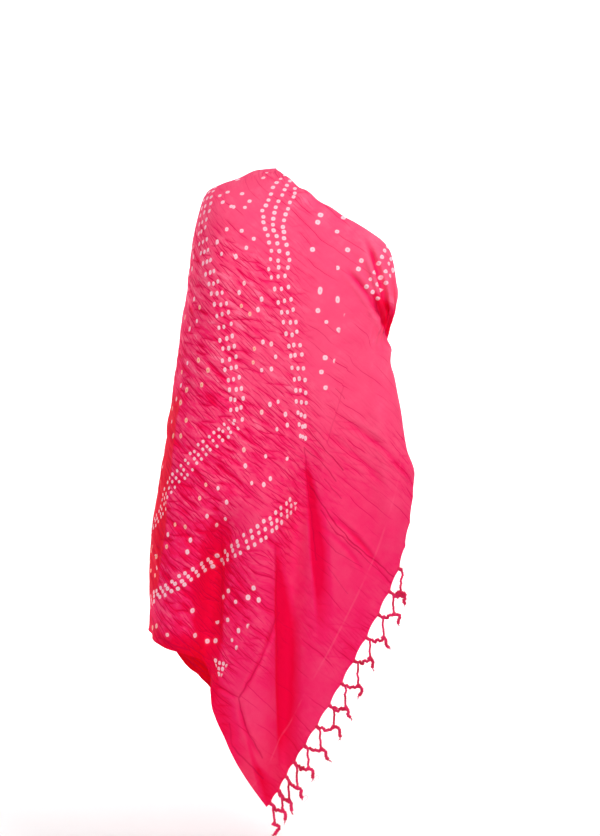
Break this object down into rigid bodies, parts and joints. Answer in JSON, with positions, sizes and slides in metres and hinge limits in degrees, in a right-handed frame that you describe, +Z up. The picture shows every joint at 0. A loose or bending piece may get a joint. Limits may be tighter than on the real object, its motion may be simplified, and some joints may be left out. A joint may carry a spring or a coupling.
{
  "type": "dupatta stole",
  "caption": "Hot-pink tie-dyed cotton dupatta stole draped over the right shoulder, falling to a point in front and behind, with knotted fringes.",
  "frame": {"origin": "the point on top of the right shoulder that carries the cloth, just under it", "axes": "+Z up, -Y to the front of the wearer, +X to the wearer's left"},
  "size_m": [0.5339, 0.2958, 1.3207],
  "materials": {
    "dyed_cotton": "matt crinkled cotton, tie-dyed dots",
    "twisted_cord": "matt twisted cotton cord"
  },
  "bodies": {
    "root": {"chest_band": "dyed_cotton", "front_panel": "dyed_cotton", "shoulder_turn": "dyed_cotton", "back_panel": "dyed_cotton", "fringe_front": "twisted_cord", "fringe_back": "twisted_cord"}
  },
  "joints": []
}
